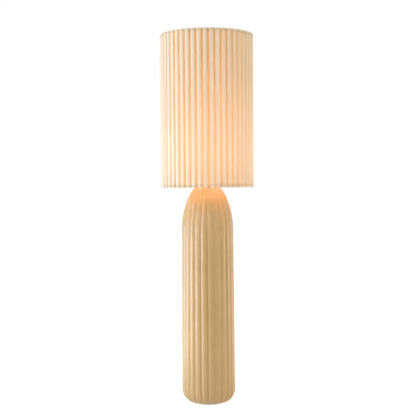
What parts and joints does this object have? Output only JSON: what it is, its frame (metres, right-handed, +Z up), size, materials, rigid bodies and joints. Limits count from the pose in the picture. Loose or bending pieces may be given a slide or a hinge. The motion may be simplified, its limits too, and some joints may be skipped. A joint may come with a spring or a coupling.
{
  "type": "floor lamp",
  "caption": "Tall floor lamp: a hollow ribbed ceramic body with a domed top, a pleated drum shade on a wire frame, and a screw lampholder with its bulb.",
  "frame": {"origin": "on the floor, at the lamp's axis", "axes": "+Z up along the lamp's axis, -Y the front as pictured, +Y the side of the cord inlet"},
  "size_m": [0.4, 0.4, 1.575],
  "materials": {
    "felt": "pressed wool felt",
    "board": "hardboard",
    "black_steel": "black powder coat",
    "ceramic": "matte, fine sand grain",
    "rubber": "matte",
    "ivory_plastic": "moulded",
    "brass": "satin",
    "flex": "soft sheath",
    "zinc_steel": "zinc plated",
    "white_plastic": "moulded",
    "porcelain": "glazed",
    "solder": "dull solder",
    "black_glass": "glassy",
    "nickel": "nickel plated",
    "bulb_housing": "moulded",
    "board_white": "printed board",
    "opal": "opal, lit warm",
    "white_wire": "white powder coat",
    "tape": "woven binding",
    "shade_cloth": "pleated linen-look cloth"
  },
  "bodies": {
    "base": {"foot_pad": "felt", "cover_board": "board", "base_plate": "black_steel", "ceramic_body": "ceramic", "cord_grommet": "rubber", "plate_grommet": "rubber", "terminal_block": "ivory_plastic", "terminal_screws": "brass", "internal_flex": "flex", "stem_tube": "zinc_steel", "stem_washer": "zinc_steel", "stem_nut": "zinc_steel", "centring_bush": "ivory_plastic", "vase_cap": "brass", "neck_sleeve": "brass", "neck_nut": "brass", "lampholder_cap": "white_plastic", "lampholder_core": "porcelain", "core_screws": "brass", "screw_sleeve": "brass", "centre_contact": "brass", "lampholder_shell": "white_plastic"},
    "shade": {"seat_ring": "white_wire", "spider_arms": "white_wire", "shade_struts": "white_wire", "shade_bottom_ring": "white_wire", "shade_top_ring": "white_wire", "shade_bottom_tape": "tape", "shade_top_tape": "tape", "shade_skin": "shade_cloth"},
    "ring_follower": {"ring_washer": "ivory_plastic"},
    "clamp_ring": {"shade_ring": "white_plastic"},
    "bulb_tip": {"bulb_contact": "solder"},
    "bulb": {"bulb_insulator": "black_glass", "bulb_cap": "nickel", "bulb_body": "bulb_housing", "led_board": "board_white", "bulb_diffuser": "opal"}
  },
  "joints": [
    {"name": "shade_swivel", "type": "hinge", "parent": "base", "child": "shade", "pos_m": [0, 0, 1.026], "axis": [0, 0, 1], "continuous": true},
    {"name": "clamp_ring_rise", "type": "slide", "parent": "base", "child": "ring_follower", "axis": [0, 0, 1], "range_m": [0, 0.02001]},
    {"name": "clamp_ring_turn", "type": "hinge", "parent": "ring_follower", "child": "clamp_ring", "pos_m": [0, 0, 1.0372], "axis": [0, 0, 1], "range_deg": [0, 2880]},
    {"name": "bulb_rise", "type": "slide", "parent": "base", "child": "bulb_tip", "axis": [0, 0, 1], "range_m": [0, 0.01815]},
    {"name": "bulb_turn", "type": "hinge", "parent": "bulb_tip", "child": "bulb", "pos_m": [0, 0, 1.037], "axis": [0, 0, 1], "range_deg": [0, 1800]}
  ],
  "couplings": [
    {"joint": "clamp_ring_rise", "follows": "clamp_ring_turn", "m_per_rad": 0.00039789},
    {"joint": "bulb_rise", "follows": "bulb_turn", "m_per_rad": 0.0005775}
  ]
}
